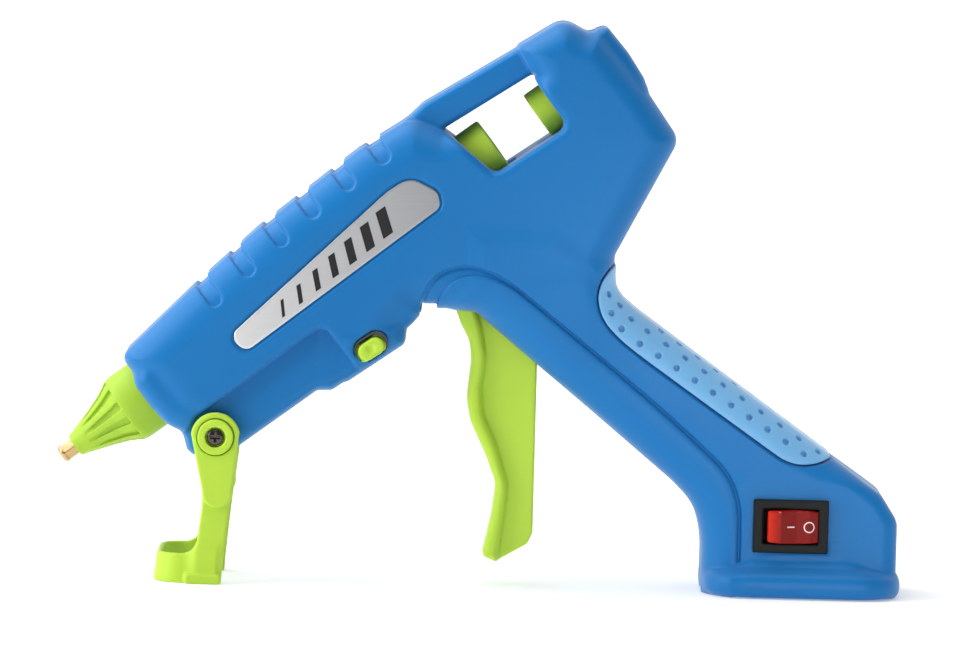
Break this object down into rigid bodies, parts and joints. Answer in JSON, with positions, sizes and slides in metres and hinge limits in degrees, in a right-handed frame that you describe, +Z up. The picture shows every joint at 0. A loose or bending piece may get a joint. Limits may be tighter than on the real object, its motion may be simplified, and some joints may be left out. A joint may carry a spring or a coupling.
{
  "type": "hot glue gun",
  "caption": "Pistol-shaped hot glue gun with slotted nozzle boot, long two-finger trigger, see-through stick window, rocker switch in the flared base and a fold-out stand",
  "frame": {"origin": "centre of the overall box on the ground the gun stands on", "axes": "+X from nozzle towards handle, +Z up, -Y the side with the rocker switch"},
  "size_m": [0.2346, 0.044, 0.158],
  "materials": {
    "blue_plastic": "satin moulded ABS",
    "blue_soft_grip": "soft touch",
    "silver_label": "brushed silver foil",
    "brass": "machined",
    "lime_plastic": "satin moulded nylon",
    "aluminium": "cast",
    "ceramic": "fired",
    "spring_steel": "plain",
    "silicone": "moulded",
    "dark_screw": "black oxide",
    "charcoal_plastic": "fine texture",
    "red_plastic": "translucent red"
  },
  "bodies": {
    "housing": {"left_housing": "blue_plastic", "right_housing": "blue_plastic", "grip_pad": "blue_soft_grip", "nameplate_left": "silver_label", "nameplate_right": "silver_label", "nozzle": "brass", "nozzle_boot": "lime_plastic", "melt_chamber": "aluminium", "heater": "ceramic", "heater_clip": "spring_steel", "inlet_collar": "silicone", "chamber_ring": "spring_steel", "stick_guide": "lime_plastic", "trigger_pin": "spring_steel", "return_spring": "spring_steel", "button_spring": "spring_steel", "switch_body": "charcoal_plastic", "switch_terminal_1": "brass", "switch_terminal_2": "brass", "stand_bush_left": "lime_plastic", "stand_screw_left": "dark_screw", "stand_bush_right": "lime_plastic", "stand_screw_right": "dark_screw", "cord_inlet": "charcoal_plastic", "housing_screw_1": "dark_screw", "housing_screw_2": "dark_screw", "housing_screw_3": "dark_screw", "housing_screw_4": "dark_screw", "housing_screw_5": "dark_screw", "housing_screw_6": "dark_screw", "housing_screw_7": "dark_screw", "housing_screw_8": "dark_screw"},
    "trigger": {"trigger": "lime_plastic"},
    "carriage": {"feed_carriage": "lime_plastic", "gripper_pin": "spring_steel"},
    "gripper": {"stick_gripper": "spring_steel"},
    "button": {"lock_button": "lime_plastic"},
    "rocker": {"switch_rocker": "red_plastic"},
    "stand": {"stand_frame": "lime_plastic", "stand_cover_left": "lime_plastic", "stand_cover_right": "lime_plastic"}
  },
  "joints": [
    {"name": "trigger_pull", "type": "hinge", "parent": "housing", "child": "trigger", "pos_m": [-0.00143, 0, 0.087], "axis": [0, -1, 0], "range_deg": [0, 18], "stiffness_Nm_per_rad": 0.12, "springref_deg": -20.05},
    {"name": "feed_slide", "type": "slide", "parent": "housing", "child": "carriage", "axis": [-0.7986, 0, -0.6018], "range_m": [0, 0.00846], "deforming": ["return_spring"]},
    {"name": "gripper_tilt", "type": "hinge", "parent": "carriage", "child": "gripper", "pos_m": [-0.01527, 0, 0.09583], "axis": [0, -1, 0], "range_deg": [0, 4.1]},
    {"name": "switch_rock", "type": "hinge", "parent": "housing", "child": "rocker", "pos_m": [0.08597, -0.0129, 0.019], "axis": [0, 0, -1], "range_deg": [0, 24]},
    {"name": "stand_button_press", "type": "slide", "parent": "housing", "child": "button", "axis": [0, 1, 0], "range_m": [0, 0.0012], "stiffness_N_per_m": 300, "springref_m": -0.002, "deforming": ["button_spring"]},
    {"name": "stand_fold", "type": "hinge", "parent": "housing", "child": "stand", "pos_m": [-0.07373, 0, 0.041], "axis": [0, 1, 0], "range_deg": [-124, 0]}
  ],
  "couplings": [
    {"joint": "feed_slide", "follows": "trigger_pull", "m_per_rad": 0.026601},
    {"joint": "gripper_tilt", "follows": "trigger_pull", "ratio": 0.22222}
  ]
}
